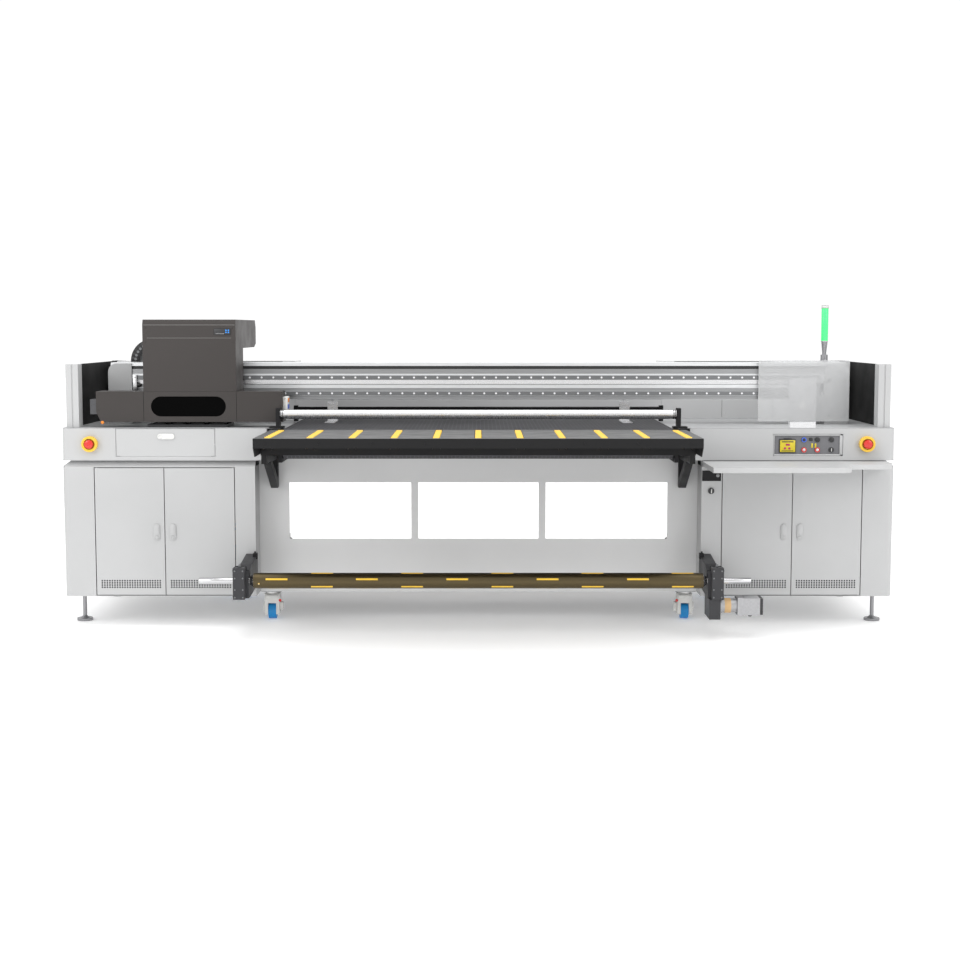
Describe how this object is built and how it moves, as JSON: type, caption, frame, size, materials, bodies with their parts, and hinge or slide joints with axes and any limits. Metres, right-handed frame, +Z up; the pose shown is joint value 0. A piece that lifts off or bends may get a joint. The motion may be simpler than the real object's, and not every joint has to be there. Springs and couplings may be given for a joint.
{
  "type": "hybrid flatbed uv printer",
  "caption": "Wide hybrid UV printer: carriage on a gantry over a belt, roller tables front and rear, roll shafts, door cabinets.",
  "frame": {"origin": "centre of the bounding box's bottom face, on the floor under the middle of the machine", "axes": "+X along the carriage travel to the operator's right, +Y from the front table to the rear, +Z up"},
  "size_m": [4.12, 2.6826, 1.601],
  "materials": {
    "frame_paint": "satin powder coat",
    "body_paint": "fine textured powder coat",
    "bay_paint": "satin powder coat",
    "deck_paint": "satin powder coat",
    "smoked_acrylic": "clear smoked sheet",
    "frosted_acrylic": "frosted sheet",
    "beam_aluminium": "anodised",
    "rail_steel": "ground",
    "bright_steel": "zinc plated",
    "chain_plastic": "moulded",
    "belt_rubber": "fine woven grid",
    "black_paint": "satin powder coat",
    "roller_aluminium": "turned",
    "motor_aluminium": "cast and finned",
    "table_paint": "textured powder coat",
    "wheel_plastic": "moulded",
    "bracket_paint": "textured powder coat",
    "shaft_anodised": "dark anodised",
    "shelf_plastic": "laminate",
    "lamp_plastic": "translucent",
    "dark_plastic": "moulded",
    "red_plastic": "moulded",
    "yellow_plastic": "moulded",
    "tank_plastic": "blow moulded",
    "head_metal": "dark anodised",
    "head_paint": "fine textured powder coat",
    "caster_plastic": "moulded"
  },
  "bodies": {
    "machine": {"base_frame": "frame_paint", "left_cabinet": "body_paint", "right_cabinet": "body_paint", "window_panels": "bay_paint", "left_fascia": "body_paint", "right_fascia": "body_paint", "decks": "deck_paint", "rear_housing": "body_paint", "deck_frames": "body_paint", "smoked_panels": "smoked_acrylic", "guard_panel": "frosted_acrylic", "gantry_beam": "beam_aluminium", "guide_rails": "rail_steel", "carriage_drive": "bright_steel", "chain_lower_run": "chain_plastic", "print_belt": "belt_rubber", "vacuum_table": "beam_aluminium", "belt_cheeks": "black_paint", "gear_motors": "motor_aluminium", "tables": "table_paint", "table_brackets": "black_paint", "table_wheels": "wheel_plastic", "web_supports": "black_paint", "roll_brackets": "bracket_paint", "writing_shelf": "shelf_plastic", "signal_lamp": "lamp_plastic", "control_panel": "dark_plastic", "estop_collars": "yellow_plastic", "capping_station": "dark_plastic", "ink_tanks": "tank_plastic", "control_box": "bay_paint", "levelling_feet": "bright_steel", "rear_casters": "caster_plastic"},
    "carriage": {"carriage_frame": "head_metal", "head_cover": "head_paint", "head_skirt": "head_paint", "print_heads": "head_metal", "chain_upper_run": "chain_plastic"},
    "chain_bend": {"chain_bend": "chain_plastic"},
    "drive_roller": {"drive_roller": "roller_aluminium"},
    "idler_roller": {"idler_roller": "roller_aluminium"},
    "guide_roller": {"guide_roller": "roller_aluminium"},
    "takeup_shaft": {"takeup_shaft": "shaft_anodised"},
    "feed_shaft": {"feed_shaft": "shaft_anodised"},
    "left_media_guide": {"left_media_guide": "bright_steel"},
    "right_media_guide": {"right_media_guide": "bright_steel"},
    "start_button": {"start_button": "red_plastic"},
    "stop_button": {"stop_button": "red_plastic"},
    "left_estop": {"left_estop": "red_plastic"},
    "right_estop": {"right_estop": "red_plastic"},
    "main_switch": {"main_switch": "dark_plastic"},
    "flap": {"flap": "body_paint"},
    "left_outer_door": {"left_outer_door": "body_paint"},
    "left_inner_door": {"left_inner_door": "body_paint"},
    "right_inner_door": {"right_inner_door": "body_paint"},
    "right_outer_door": {"right_outer_door": "body_paint"},
    "left_caster_fork": {"left_caster_fork": "bright_steel"},
    "right_caster_fork": {"right_caster_fork": "bright_steel"},
    "left_caster_wheel": {"left_caster_wheel": "caster_plastic"},
    "right_caster_wheel": {"right_caster_wheel": "caster_plastic"}
  },
  "joints": [
    {"name": "carriage_travel", "type": "slide", "parent": "machine", "child": "carriage", "axis": [1, 0, 0], "range_m": [0, 2.39], "deforming": ["chain_lower_run"]},
    {"name": "chain_bend_travel", "type": "slide", "parent": "carriage", "child": "chain_bend", "axis": [1, 0, 0], "range_m": [-1.195, 0], "deforming": ["chain_upper_run"]},
    {"name": "drive_roller_turn", "type": "hinge", "parent": "machine", "child": "drive_roller", "pos_m": [0, 0.642, 0.9217], "axis": [1, 0, 0], "continuous": true},
    {"name": "idler_roller_turn", "type": "hinge", "parent": "machine", "child": "idler_roller", "pos_m": [0, -0.642, 0.9217], "axis": [1, 0, 0], "continuous": true},
    {"name": "guide_roller_turn", "type": "hinge", "parent": "machine", "child": "guide_roller", "pos_m": [0, -0.57, 1.062], "axis": [1, 0, 0], "continuous": true},
    {"name": "takeup_turn", "type": "hinge", "parent": "machine", "child": "takeup_shaft", "pos_m": [0, -0.87, 0.281], "axis": [1, 0, 0], "continuous": true},
    {"name": "feed_turn", "type": "hinge", "parent": "machine", "child": "feed_shaft", "pos_m": [0, 0.87, 0.211], "axis": [1, 0, 0], "continuous": true},
    {"name": "left_guide_slide", "type": "slide", "parent": "machine", "child": "left_media_guide", "axis": [1, 0, 0], "range_m": [0, 0.45]},
    {"name": "right_guide_slide", "type": "slide", "parent": "machine", "child": "right_media_guide", "axis": [-1, 0, 0], "range_m": [0, 0.45]},
    {"name": "start_press", "type": "slide", "parent": "machine", "child": "start_button", "axis": [0, 1, 0], "range_m": [0, 0.003], "stiffness_N_per_m": 600},
    {"name": "stop_press", "type": "slide", "parent": "machine", "child": "stop_button", "axis": [0, 1, 0], "range_m": [0, 0.003], "stiffness_N_per_m": 600},
    {"name": "left_estop_press", "type": "slide", "parent": "machine", "child": "left_estop", "axis": [0, 1, 0], "range_m": [0, 0.005], "stiffness_N_per_m": 1500},
    {"name": "right_estop_press", "type": "slide", "parent": "machine", "child": "right_estop", "axis": [0, 1, 0], "range_m": [0, 0.005], "stiffness_N_per_m": 1500},
    {"name": "main_switch_turn", "type": "hinge", "parent": "machine", "child": "main_switch", "pos_m": [1.153, -0.57, 0.683], "axis": [0, 1, 0], "range_deg": [0, 90]},
    {"name": "flap_hinge", "type": "hinge", "parent": "machine", "child": "flap", "pos_m": [-1.5465, -0.5685, 0.856], "axis": [1, 0, 0], "range_deg": [0, 90]},
    {"name": "left_outer_hinge", "type": "hinge", "parent": "machine", "child": "left_outer_door", "pos_m": [-1.893, -0.563, 0.479], "axis": [0, 0, -1], "range_deg": [0, 110]},
    {"name": "left_inner_hinge", "type": "hinge", "parent": "machine", "child": "left_inner_door", "pos_m": [-1.217, -0.563, 0.479], "axis": [0, 0, 1], "range_deg": [0, 55]},
    {"name": "right_inner_hinge", "type": "hinge", "parent": "machine", "child": "right_inner_door", "pos_m": [1.217, -0.563, 0.479], "axis": [0, 0, -1], "range_deg": [0, 55]},
    {"name": "right_outer_hinge", "type": "hinge", "parent": "machine", "child": "right_outer_door", "pos_m": [1.893, -0.563, 0.479], "axis": [0, 0, 1], "range_deg": [0, 110]},
    {"name": "left_caster_swivel", "type": "hinge", "parent": "machine", "child": "left_caster_fork", "pos_m": [-1.056, -0.339, 0.14], "axis": [0, 0, 1], "continuous": true},
    {"name": "left_caster_roll", "type": "hinge", "parent": "left_caster_fork", "child": "left_caster_wheel", "pos_m": [-1.056, -0.329, 0.041], "axis": [1, 0, 0], "continuous": true},
    {"name": "right_caster_swivel", "type": "hinge", "parent": "machine", "child": "right_caster_fork", "pos_m": [1.056, -0.339, 0.14], "axis": [0, 0, 1], "continuous": true},
    {"name": "right_caster_roll", "type": "hinge", "parent": "right_caster_fork", "child": "right_caster_wheel", "pos_m": [1.056, -0.329, 0.041], "axis": [1, 0, 0], "continuous": true}
  ],
  "couplings": [
    {"joint": "chain_bend_travel", "follows": "carriage_travel", "ratio": -0.5},
    {"joint": "idler_roller_turn", "follows": "drive_roller_turn", "ratio": 1}
  ]
}
